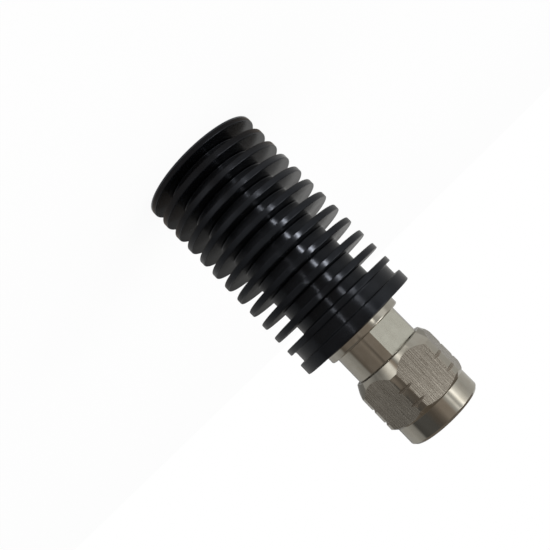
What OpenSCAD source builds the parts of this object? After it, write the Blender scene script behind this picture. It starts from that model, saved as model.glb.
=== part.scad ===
// Coaxial RF dummy load: a film resistor inside a finned heat sink, behind a screw-on plug.
// Millimetres. It stands on its closed end: the origin is the centre of that face and +Z
// runs along the axis towards the plug's mouth. The wrench flats face -Y and +Y.

/* [Heat sink] */
// Diameter over the fins and the front flange
fin_d = 30.6; // [27:0.1:40]
// Number of cooling fins, with the one that closes the end
fin_count = 12; // [9:1:16]
// Thickness of one fin
fin_t = 1.5; // [0.9:0.1:2]
// Distance from one fin to the next
fin_pitch = 4.02; // [3.5:0.02:5]
// Diameter of the core between the fins
core_d = 19.8; // [18:0.1:22]
// Radius that the turning tool leaves at the foot of a fin
fin_root_r = 0.3; // [0.1:0.05:0.5]
// Width of the shallow groove behind the front flange
shallow_w = 2.8; // [1.5:0.1:5]
// Diameter at the floor of the shallow groove
shallow_d = 28; // [23:0.1:29]
// Thickness of the front flange
flange_t = 2.8; // [1.5:0.1:5]
// Chamfer on the rims of the fins and the flange
rim_c = 0.2; // [0.1:0.05:0.3]
// Wall left between the closed end and the resistor's seat
end_wall = 5; // [2:0.5:8]

/* [Connector body] */
// Diameter of the collar that bears on the flange
collar_d = 19.6; // [18:0.1:23]
// Thickness of the collar
collar_t = 2.1; // [1.3:0.1:3]
// Rounding of the collar's two edges
collar_round = 0.45; // [0.2:0.05:0.6]
// Diameter of the round section between collar and nut
barrel_d = 16.8; // [15.5:0.1:18]
// Length of that round section
barrel_l = 6.9; // [4:0.1:12]
// Distance across its two wrench flats
flats_af = 14.1; // [13:0.1:15]
// Chamfer on its front edge
barrel_c = 0.3; // [0.1:0.05:0.5]
// Diameter of the stub that screws into the heat sink
stub_d = 14; // [12.5:0.1:15]
// Length of that stub
stub_l = 7; // [4:0.1:9]
// Diameter of the spigot that carries the nut
spigot_d = 12.9; // [12.5:0.1:13.4]
// Length of the spigot in front of the retaining ring
spigot_land = 0.7; // [0.4:0.1:1.5]
// Bore of the air line behind the insulator
line_bore_d = 10.4; // [9:0.1:11]
// Bore of the web behind the insulator
web_bore_d = 7; // [6:0.1:8]
// Thickness of that web
web_t = 1.6; // [1:0.1:3]

/* [Coupling nut] */
// Distance across the flats of the hexagon
hex_af = 19.7; // [19:0.1:22]
// Diameter that the hexagon's corners are turned down to
corner_d = 21.74; // [20.8:0.02:23]
// Length of the nut from rear face to mouth
nut_l = 17.7; // [16.5:0.1:24]
// Length of the round part at the mouth
mouth_l = 4.8; // [3:0.1:5.5]
// Outside diameter of the round part at the mouth
mouth_d = 19.1; // [18.5:0.1:19.6]
// Chamfer on the outer edge of the mouth
mouth_c = 0.6; // [0.2:0.05:0.8]
// Outside diameter of the rear face
rear_d = 18.6; // [17.5:0.1:19.5]
// Length of the cone from the rear face to the corners
rear_cone_l = 2.8; // [1.5:0.1:4]
// Length of the cone from the corners to the round mouth
front_cone_l = 0.8; // [0.5:0.1:1.8]
// Distance from the rear face to the first fine groove
mark_z = 6.2; // [5:0.1:7]
// Distance from one fine groove to the next
mark_pitch = 3.7; // [2:0.1:4.5]
// Number of fine grooves
mark_count = 2; // [1:1:2]
// Width of a fine groove
mark_w = 0.8; // [0.5:0.05:1.2]
// Depth of a fine groove
mark_depth = 0.5; // [0.1:0.02:0.6]
// Major diameter of the coupling thread
thread_d = 15.9; // [15:0.1:16.2]
// Length of the thread from the mouth
thread_l = 9.2; // [6:0.1:11]
// Diameter of the relief behind the thread
relief_d = 16.3; // [16.2:0.1:17]
// Thickness of the lip that runs on the spigot
lip_t = 3.4; // [2:0.1:4.5]
// Turn of the nut about the axis, to one of its corners
nut_turn = 20.5; // [0:0.5:60]

/* [Retaining ring and gasket] */
// Outside diameter of the retaining ring
ring_d = 14.6; // [14:0.1:15.4]
// Thickness of the retaining ring
ring_t = 0.9; // [0.6:0.05:1.2]
// Depth of the ring's groove in the spigot
ring_groove = 0.65; // [0.4:0.05:0.9]
// Gap between the ring's two ends
ring_gap = 2.4; // [1:0.1:4]
// Inside diameter of the gasket
gasket_bore = 9.8; // [9.6:0.1:10.4]
// Outside diameter of the gasket
gasket_d = 12.7; // [11.8:0.1:13.2]
// Thickness of the gasket
gasket_t = 1.5; // [1:0.1:2]

/* [Contacts] */
// Outside diameter of the outer contact
contact_d = 8.06; // [7.8:0.02:8.4]
// Bore of the outer contact
contact_bore = 7; // [6.6:0.1:7.2]
// Diameter of the seat that is pressed into the spigot
contact_seat_d = 9.4; // [9:0.1:9.6]
// Length of that seat
contact_seat_l = 4.6; // [3:0.1:6]
// Distance from the nut's mouth back to the outer contact
contact_recess = 3; // [1:0.1:5]
// Number of slots in the outer contact
slot_count = 4; // [2:1:8]
// Width of a slot
slot_w = 0.5; // [0.3:0.05:0.8]
// Length of a slot
slot_l = 6; // [3:0.5:8]
// Turn of the first slot about the axis
slot_turn = 45; // [0:5:90]
// Length of the insulator
insulator_l = 3.6; // [2:0.1:5]
// Diameter of the contact pin
pin_d = 1.62; // [1.5:0.02:1.8]
// Distance from the nut's mouth back to the pin's tip
pin_recess = 1; // [0.5:0.1:3]
// Length of the pin's tapered tip
pin_taper = 1.2; // [0.6:0.1:2]
// Distance from the outer contact's end back to the pin's shoulder
shoulder_recess = 5.5; // [4:0.1:6.5]
// Diameter of the inner conductor at the shoulder
shoulder_d = 3.04; // [2.6:0.02:3.4]
// Diameter of the inner conductor inside the insulator
neck_d = 2.1; // [1.8:0.1:2.4]
// Distance from the web back to the step in the inner conductor
step_back = 1.6; // [1:0.1:3]

/* [Resistor] */
// Diameter of the ceramic rod
rod_d = 4.5; // [3.5:0.1:5.5]
// Bore of the ceramic rod
rod_bore = 2.4; // [1:0.1:2.8]
// Wall of the metal end caps
cap_wall = 0.3; // [0.2:0.05:0.6]
// Floor of the metal end caps
cap_floor = 0.8; // [0.5:0.1:1.5]
// Length of cap that grips the rod
cap_grip = 3.2; // [2:0.1:5]
// Diameter of the front cap's stalk
stalk_d = 1.5; // [1:0.1:1.9]
// Length of that stalk
stalk_l = 4; // [2:0.1:6]
// Distance from the front cap to the floor of the heat sink's socket
line_l = 4; // [2:0.5:8]

/* [Fits] */
// Radial gap of the nut on its spigot
run_gap = 0.05; // [0.02:0.01:0.1]
// End float of the nut on each side of its lip
nut_float = 0.15; // [0.05:0.05:0.3]
// Radial gap of pieces that are pressed or screwed together
fit_gap = 0.02; // [0.01:0.01:0.04]
// Relief left beyond the end of a screwed or plugged-in piece
end_relief = 0.5; // [0.2:0.1:1]

/* [Hidden] */
$fn = 96;
// How far a cutting shape runs past the face that it cuts
overcut = 0.5;
// Straight steps that follow the chamber's exponential taper
taper_steps = 12;
// Rounding of the gasket's edges
gasket_round = 0.3;
// Chamfers at the end of the outer contact, outside and in
contact_c = 0.3;
contact_c_in = 0.15;
// Radius left at the very end of the pin
pin_end_r = 0.3;

// Heights on the axis, from the closed end to the mouth
fins_top = (fin_count - 1) * fin_pitch + fin_t;
flange_z = fins_top + shallow_w;
sink_top = flange_z + flange_t;
stub_z = sink_top - stub_l;
socket_z = stub_z - end_relief;
barrel_z = sink_top + collar_t;
barrel_top = barrel_z + barrel_l;
nut_z = barrel_top + nut_float;
nut_top = nut_z + nut_l;
ring_z = nut_z + lip_t + nut_float;
spigot_top = ring_z + ring_t + spigot_land;
contact_seat_z = spigot_top - contact_seat_l;
insulator_z = contact_seat_z - insulator_l;
web_z = insulator_z - web_t;
contact_top = nut_top - contact_recess;
shoulder_z = contact_top - shoulder_recess;
pin_top = nut_top - pin_recess;
front_cap_top = socket_z - line_l;
film_top = front_cap_top - cap_floor - cap_grip;
film_z = end_wall + cap_floor + cap_grip;

// Radii that other pieces follow
fin_r = fin_d / 2;
seat_r = rod_d / 2 + cap_wall + fit_gap;
line_r = line_bore_d / 2;
corner_r = corner_d / 2;
hex_l = nut_l - mouth_l;

// Radius of the chamber at a share of the film's length, for a constant match along the film
function chamber_r(share) = seat_r * pow(line_r / seat_r, share);

// Ring of material between two radii
module tube(r_out, r_in, h) {
    difference() {
        cylinder(r = r_out, h = h);
        translate([0, 0, -overcut]) cylinder(r = r_in, h = h + 2 * overcut);
    }
}

// Disc with both edges rounded
module rounded_disc(r, h, round_r) {
    rotate_extrude() {
        square([r - round_r, h]);
        translate([0, round_r]) square([r, h - 2 * round_r]);
        for (z = [round_r, h - round_r]) translate([r - round_r, z]) circle(r = round_r);
    }
}

// Groove between two fins, with a round at each side of its floor and chamfered rims
module turned_groove(floor_r, width) {
    depth = fin_r - floor_r;
    reach = rim_c + overcut;
    rotate_extrude() {
        translate([floor_r, fin_root_r]) square([depth, width - 2 * fin_root_r]);
        translate([floor_r + fin_root_r, 0]) square([depth - fin_root_r, width]);
        for (z = [fin_root_r, width - fin_root_r]) {
            translate([floor_r + fin_root_r, z]) circle(r = fin_root_r);
        }
        polygon([[fin_r - rim_c, 0], [fin_r + overcut, -reach], [fin_r + overcut, width + reach],
            [fin_r - rim_c, width]]);
    }
}

// Bore of the heat sink: the resistor's seat, the tapered chamber and the plug's socket
module sink_bore() {
    socket_r = stub_d / 2 + fit_gap;
    taper = [for (i = [0 : taper_steps])
        [chamber_r(i / taper_steps), film_z + (film_top - film_z) * i / taper_steps]];
    rotate_extrude() polygon(concat(
        [[0, end_wall], [seat_r, end_wall]],
        taper,
        [[line_r, socket_z], [socket_r, socket_z], [socket_r, sink_top + overcut], [0, sink_top + overcut]]));
}

// Blank of the heat sink, with its two end rims chamfered
module sink_blank() {
    rotate_extrude() polygon([[0, 0], [fin_r - rim_c, 0], [fin_r, rim_c], [fin_r, sink_top - rim_c],
        [fin_r - rim_c, sink_top], [0, sink_top]]);
}

module heat_sink() {
    color("#1a1b1d") difference() {
        sink_blank();
        for (k = [0 : fin_count - 2]) {
            translate([0, 0, k * fin_pitch + fin_t]) turned_groove(core_d / 2, fin_pitch - fin_t);
        }
        translate([0, 0, fins_top]) turned_groove(shallow_d / 2, shallow_w);
        sink_bore();
    }
}

// Round section behind the nut, with a flat on each side for a wrench
module wrench_barrel() {
    r = barrel_d / 2;
    intersection() {
        rotate_extrude() polygon([[0, 0], [r, 0], [r, barrel_l - barrel_c], [r - barrel_c, barrel_l],
            [0, barrel_l]]);
        translate([-barrel_d, -flats_af / 2, -overcut])
            cube([2 * barrel_d, flats_af, barrel_l + 2 * overcut]);
    }
}

// Stepped bore through the connector body, from the air line to the outer contact's seat
module body_bore() {
    seat = contact_seat_d / 2 + fit_gap;
    web = web_bore_d / 2;
    rotate_extrude() polygon([[0, stub_z - overcut], [line_r, stub_z - overcut], [line_r, web_z],
        [web, web_z], [web, insulator_z], [seat, insulator_z], [seat, spigot_top + overcut],
        [0, spigot_top + overcut]]);
}

module connector_body() {
    spigot_r = spigot_d / 2;
    groove_h = ring_t + 2 * fit_gap;
    color("#b8b5a6") difference() {
        union() {
            translate([0, 0, stub_z]) cylinder(d = stub_d, h = stub_l + collar_t / 2);
            translate([0, 0, sink_top]) rounded_disc(collar_d / 2, collar_t, collar_round);
            translate([0, 0, barrel_z]) wrench_barrel();
            translate([0, 0, barrel_z]) cylinder(r = spigot_r, h = spigot_top - barrel_z);
        }
        body_bore();
        translate([0, 0, ring_z - fit_gap]) tube(spigot_r + overcut, spigot_r - ring_groove, groove_h);
    }
}

// Turned outline of the hexagon: rear cone, corners with fine grooves, front cone
module hex_outline() {
    marks = [for (k = [0 : mark_count - 1]) mark_z + k * mark_pitch];
    grooves = [for (z = marks) each
        [[corner_r, z - mark_w / 2], [corner_r - mark_depth, z], [corner_r, z + mark_w / 2]]];
    rotate_extrude() polygon(concat(
        [[0, 0], [rear_d / 2, 0], [corner_r, rear_cone_l]],
        grooves,
        [[corner_r, hex_l - front_cone_l], [mouth_d / 2, hex_l], [0, hex_l]]));
}

// Round part at the mouth, with its outer edge chamfered
module mouth_ring() {
    r = mouth_d / 2;
    rotate_extrude() polygon([[0, hex_l - overcut], [r - overcut, hex_l - overcut], [r, hex_l],
        [r, nut_l - mouth_c], [r - mouth_c, nut_l], [0, nut_l]]);
}

// Bore of the nut: running lip, relief, thread and a bevelled mouth
module nut_bore() {
    lip = spigot_d / 2 + run_gap;
    relief = relief_d / 2;
    thread = thread_d / 2;
    bevel = relief - thread;
    thread_z = nut_l - thread_l;
    rotate_extrude() polygon([[0, -overcut], [lip, -overcut], [lip, lip_t], [relief, lip_t],
        [relief, thread_z], [thread, thread_z + bevel], [thread, nut_l - bevel],
        [relief + overcut, nut_l + overcut], [0, nut_l + overcut]]);
}

module coupling_nut() {
    color("#a5a39a") translate([0, 0, nut_z]) rotate([0, 0, nut_turn]) difference() {
        union() {
            intersection() {
                cylinder(d = hex_af / cos(30), h = hex_l, $fn = 6);
                hex_outline();
            }
            mouth_ring();
        }
        nut_bore();
    }
}

module retaining_ring() {
    color("#7d7f84") translate([0, 0, ring_z]) difference() {
        tube(ring_d / 2, spigot_d / 2 - ring_groove + fit_gap, ring_t);
        translate([0, -ring_gap / 2, -overcut]) cube([ring_d, ring_gap, ring_t + 2 * overcut]);
    }
}

module gasket() {
    color("#b4553a") translate([0, 0, spigot_top]) difference() {
        rounded_disc(gasket_d / 2, gasket_t, gasket_round);
        translate([0, 0, -overcut]) cylinder(d = gasket_bore, h = gasket_t + 2 * overcut);
    }
}

module outer_contact() {
    r = contact_d / 2;
    bore = contact_bore / 2;
    color("#c9c4b4") difference() {
        rotate_extrude() polygon([[bore, contact_seat_z], [contact_seat_d / 2, contact_seat_z],
            [contact_seat_d / 2, spigot_top], [r, spigot_top], [r, contact_top - contact_c],
            [r - contact_c, contact_top], [bore + contact_c_in, contact_top],
            [bore, contact_top - contact_c_in]]);
        for (k = [0 : slot_count - 1]) {
            rotate([0, 0, slot_turn + 360 * k / slot_count])
                translate([0, -slot_w / 2, contact_top - slot_l])
                cube([contact_d, slot_w, slot_l + overcut]);
        }
    }
}

module insulator() {
    color("#efeee8") translate([0, 0, insulator_z])
        tube(contact_seat_d / 2, neck_d / 2 + fit_gap, insulator_l);
}

// Stepped inner conductor, with a socket at its rear end for the resistor's stalk
module centre_pin() {
    line = rod_d / 2;
    shoulder = shoulder_d / 2;
    neck = neck_d / 2;
    pin = pin_d / 2;
    socket = stalk_d / 2 + fit_gap;
    socket_top = front_cap_top + stalk_l + end_relief;
    step_z = web_z - step_back;
    color("#c8a24a") rotate_extrude() polygon([[socket, front_cap_top], [line, front_cap_top], [line, step_z],
        [shoulder, step_z], [shoulder, insulator_z], [neck, insulator_z], [neck, contact_seat_z],
        [shoulder, contact_seat_z], [shoulder, shoulder_z], [pin, shoulder_z], [pin, pin_top - pin_taper],
        [pin_end_r, pin_top], [0, pin_top], [0, socket_top], [socket, socket_top]]);
}

module resistor_rod() {
    rod_z = end_wall + cap_floor;
    rod_top = front_cap_top - cap_floor;
    color("#3b3f3a") translate([0, 0, rod_z]) tube(rod_d / 2, rod_bore / 2, rod_top - rod_z);
}

// Cup that grips one end of the rod, floor down
module end_cap() {
    grip_r = rod_d / 2 + fit_gap / 2;
    difference() {
        cylinder(r = rod_d / 2 + cap_wall, h = cap_floor + cap_grip);
        translate([0, 0, cap_floor]) cylinder(r = grip_r, h = cap_grip + overcut);
    }
}

module front_cap() {
    color("#c9c6be") {
        translate([0, 0, front_cap_top]) mirror([0, 0, 1]) end_cap();
        translate([0, 0, front_cap_top - cap_floor / 2]) cylinder(d = stalk_d, h = stalk_l + cap_floor / 2);
    }
}

module rear_cap() {
    color("#c9c6be") translate([0, 0, end_wall]) end_cap();
}

heat_sink();
connector_body();
coupling_nut();
retaining_ring();
gasket();
outer_contact();
insulator();
centre_pin();
resistor_rod();
front_cap();
rear_cap();
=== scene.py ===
"""Looks of a coaxial RF dummy load: a finned heat sink behind a screw-on plug.

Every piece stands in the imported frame, in metres: the origin is the centre of the closed end and +Z runs
along the axis towards the plug's mouth. Sizes are written in millimetres and become metres where a mesh is
made. The studio's own sizes are in metres.
"""

import logging
import math
from dataclasses import dataclass, field
from enum import Enum
from typing import Any, Iterable

import bmesh
import bpy
from bpy.types import Material, Mesh, Node, NodeSocket, NodeTree, Object
from mathutils import Matrix, Vector


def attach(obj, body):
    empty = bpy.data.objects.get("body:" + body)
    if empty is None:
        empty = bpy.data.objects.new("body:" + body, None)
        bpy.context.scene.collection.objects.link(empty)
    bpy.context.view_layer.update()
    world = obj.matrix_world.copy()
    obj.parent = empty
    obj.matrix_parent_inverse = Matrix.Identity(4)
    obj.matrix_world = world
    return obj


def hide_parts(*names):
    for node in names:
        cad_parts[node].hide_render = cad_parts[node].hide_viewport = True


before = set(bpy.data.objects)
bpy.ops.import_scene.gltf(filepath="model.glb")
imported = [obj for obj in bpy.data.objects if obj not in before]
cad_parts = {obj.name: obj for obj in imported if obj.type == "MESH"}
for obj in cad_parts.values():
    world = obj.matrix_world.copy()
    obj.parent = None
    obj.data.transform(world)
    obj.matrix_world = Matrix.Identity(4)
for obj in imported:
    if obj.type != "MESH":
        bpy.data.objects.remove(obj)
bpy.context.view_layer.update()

LOG = logging.getLogger("dummy_load")
MM = 0.001
INCH_MM = 25.4
# Distance under which two points of a mesh are the same point
WELD = 1e-6
# Turn between two faces above which their edge is an edge and not a step of a round
EDGE_TURN = math.radians(20)
# Share of a full turn that lays a shader's drawn-out gloss across its tangent
QUARTER_TURN = 0.25
# Part of a pattern's range over which plating goes from bright to dull
DULL_RANGE = (0.35, 0.7)
# Part of a pattern's range over which a dyed film goes from fresh to worn
WORN_RANGE = (0.35, 0.75)


class Body(Enum):
    """The bodies of the frame that pieces ride on."""

    LOAD = "load"
    NUT = "nut"


class Lay(Enum):
    """The direction in which a tool has left its marks on a surface."""

    AROUND = "round the axis"
    ALONG = "along the axis"


def linear(hex_code: str) -> tuple[float, float, float, float]:
    """Turns an sRGB hex colour to linear light.

    Args:
        hex_code: the colour as #rrggbb.

    Returns:
        Red, green, blue and an alpha of one.
    """
    channels = [int(hex_code[i:i + 2], 16) / 255 for i in (1, 3, 5)]
    light = [c / 12.92 if c <= 0.04045 else ((c + 0.055) / 1.055) ** 2.4 for c in channels]
    return (light[0], light[1], light[2], 1.0)


def add_node(tree: NodeTree, kind: str, inputs: dict[int | str, Any] | None = None, **settings: Any) -> Node:
    """Adds one node to a tree, with its settings and links.

    Args:
        tree: the tree that takes the node.
        kind: Blender's name for the kind of node.
        inputs: a value, or a socket to link from, for each input by name or number.
        settings: the node's own properties.

    Returns:
        The new node.
    """
    node = tree.nodes.new(kind)
    for name, value in settings.items():
        setattr(node, name, value)
    fill(tree, node, inputs or {})
    return node


def fill(tree: NodeTree, node: Node, inputs: dict[int | str, Any]) -> None:
    """Sets or links the inputs of a node.

    Args:
        tree: the node's tree.
        node: the node.
        inputs: a value, or a socket to link from, for each input by name or number.
    """
    for key, value in inputs.items():
        if isinstance(value, NodeSocket):
            tree.links.new(value, node.inputs[key])
        else:
            node.inputs[key].default_value = value


def new_tree(name: str, sockets: Iterable[tuple[str, str]]) -> NodeTree:
    """Makes an empty Geometry Nodes tree with named inputs and a geometry output.

    Args:
        name: the tree's name.
        sockets: the name and the socket type of each input.

    Returns:
        The tree.
    """
    tree = bpy.data.node_groups.new(name, "GeometryNodeTree")
    for label, kind in sockets:
        tree.interface.new_socket(name=label, in_out="INPUT", socket_type=kind)
    tree.interface.new_socket(name="Geometry", in_out="OUTPUT", socket_type="NodeSocketGeometry")
    return tree


def end_tree(tree: NodeTree, geometry: NodeSocket, material: NodeSocket) -> None:
    """Ends a Geometry Nodes tree in one real mesh with its finish.

    Args:
        tree: the tree.
        geometry: what the tree has made.
        material: the finish.
    """
    whole = add_node(tree, "GeometryNodeRealizeInstances", {"Geometry": geometry}).outputs[0]
    dressed = add_node(tree, "GeometryNodeSetMaterial", {"Geometry": whole, "Material": material}).outputs[0]
    add_node(tree, "NodeGroupOutput", {"Geometry": dressed})


def stand(name: str, data: bpy.types.ID) -> Object:
    """Puts a mesh, a lamp or a camera into the scene, at the origin.

    Args:
        name: the object's name.
        data: the mesh, lamp or camera.

    Returns:
        The object.
    """
    thing = bpy.data.objects.new(name, data)
    bpy.context.scene.collection.objects.link(thing)
    return thing


def settle(piece: Object) -> None:
    """Turns the piece's live modifiers into its own plain mesh.

    Args:
        piece: the object whose modifiers are used up.
    """
    depsgraph = bpy.context.evaluated_depsgraph_get()
    shaped = bpy.data.meshes.new_from_object(piece.evaluated_get(depsgraph), preserve_all_data_layers=True,
                                             depsgraph=depsgraph)
    before = piece.data
    piece.modifiers.clear()
    piece.data = shaped
    bpy.data.meshes.remove(before)
    shaped.name = piece.name


def grow(name: str, seed: Mesh, tree: NodeTree, inputs: dict[str, Any]) -> Object:
    """Runs a Geometry Nodes tree on a seed mesh and keeps the result as a plain mesh.

    Args:
        name: the new object's name.
        seed: the mesh that the tree starts from.
        tree: the Geometry Nodes tree.
        inputs: the tree's inputs by name.

    Returns:
        The new object, at the origin.
    """
    piece = stand(name, seed)
    modifier = piece.modifiers.new(tree.name, "NODES")
    modifier.node_group = tree
    for item in tree.interface.items_tree:
        if item.in_out == "INPUT" and item.name in inputs:
            modifier[item.identifier] = inputs[item.name]
    settle(piece)
    face_outwards(piece)
    return piece


def face_outwards(piece: Object) -> None:
    """Points the faces of a closed mesh outwards.

    Args:
        piece: the object with the mesh.
    """
    shell = bmesh.new()
    shell.from_mesh(piece.data)
    bmesh.ops.recalc_face_normals(shell, faces=shell.faces)
    shell.to_mesh(piece.data)
    shell.free()


def prism(name: str, outline: list[tuple[float, float]], z_from: float, z_to: float,
          material: Material) -> Object:
    """Makes a straight prism that serves as a cutter.

    Args:
        name: the new object's name.
        outline: the corners in X and Y, in millimetres, counterclockwise.
        z_from: height of the lower face in millimetres.
        z_to: height of the upper face in millimetres.
        material: the finish that the cut faces get.

    Returns:
        The new object.
    """
    count = len(outline)
    points = [(x * MM, y * MM, z * MM) for z in (z_from, z_to) for x, y in outline]
    sides = [(i, (i + 1) % count, count + (i + 1) % count, count + i) for i in range(count)]
    faces = [tuple(reversed(range(count))), tuple(range(count, 2 * count)), *sides]
    mesh = bpy.data.meshes.new(name)
    mesh.from_pydata(points, [], faces)
    mesh.materials.append(material)
    return stand(name, mesh)


def carve(piece: Object, cutter: Object, operation: str) -> None:
    """Cuts a piece with another solid, which is used up.

    Args:
        piece: the solid that is cut.
        cutter: the solid that cuts it and gives the cut faces its finish.
        operation: INTERSECT keeps what lies inside the cutter, DIFFERENCE what lies outside.
    """
    modifier = piece.modifiers.new("carve", "BOOLEAN")
    modifier.operation = operation
    modifier.solver = "EXACT"
    modifier.material_mode = "TRANSFER"
    modifier.object = cutter
    settle(piece)
    bpy.data.objects.remove(cutter)


def soften(piece: Object, width: float, steps: int = 3) -> None:
    """Rounds the cut edges a little, as plating and handling do, and evens the shading of flat faces.

    Args:
        piece: the solid to finish.
        width: width of the rounded edge in millimetres.
        steps: faces across the rounded edge.
    """
    if width > 0:
        bevel = piece.modifiers.new("edge", "BEVEL")
        bevel.limit_method = "ANGLE"
        bevel.angle_limit = EDGE_TURN
        bevel.width = width * MM
        bevel.segments = steps
        bevel.use_clamp_overlap = True
    settle(piece)
    for face in piece.data.polygons:
        face.use_smooth = True
    piece.modifiers.new("normals", "WEIGHTED_NORMAL").keep_sharp = False
    settle(piece)


# Turned pieces


@dataclass(frozen=True)
class Corner:
    """One corner of a turned section, in millimetres."""

    r: float
    z: float
    rounding: float = 0.0


@dataclass
class Section:
    """Half section of a turned piece, as runs of corners that join end to end.

    The plain runs stand as they are. The repeated run is copied up the axis.
    """

    plain: list[list[Corner]]
    repeated: list[Corner] = field(default_factory=list)
    count: int = 0
    pitch: float = 0.0
    closed: bool = True

    def seed(self, name: str) -> Mesh:
        """Makes the section's edges, with each corner's rounding.

        Args:
            name: the mesh's name.

        Returns:
            The mesh, in the plane of X and Z.
        """
        points: list[Corner] = []
        edges: list[tuple[int, int]] = []
        repeats: list[bool] = []
        for run in [*self.plain, self.repeated]:
            first = len(points)
            points += run
            edges += [(i, i + 1) for i in range(first, len(points) - 1)]
            repeats += [run is self.repeated] * len(run)
        mesh = bpy.data.meshes.new(name)
        mesh.from_pydata([(p.r * MM, 0, p.z * MM) for p in points], edges, [])
        rounding = mesh.attributes.new("rounding", "FLOAT", "POINT")
        rounding.data.foreach_set("value", [p.rounding * MM for p in points])
        repeat = mesh.attributes.new("repeat", "BOOLEAN", "POINT")
        repeat.data.foreach_set("value", repeats)
        return mesh


def turned_point(tree: NodeTree, radius: NodeSocket, angle: NodeSocket, height: NodeSocket) -> NodeSocket:
    """Adds the nodes that put a point at a radius, an angle and a height about the axis.

    Args:
        tree: the tree that takes the nodes.
        radius: distance from the axis.
        angle: angle about the axis.
        height: height along the axis.

    Returns:
        The position.
    """
    flat = [add_node(tree, "ShaderNodeMath", {0: angle}, operation=name).outputs[0]
            for name in ("COSINE", "SINE")]
    x, y = [add_node(tree, "ShaderNodeMath", {0: radius, 1: part}, operation="MULTIPLY").outputs[0]
            for part in flat]
    return add_node(tree, "ShaderNodeCombineXYZ", {"X": x, "Y": y, "Z": height}).outputs[0]


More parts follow.
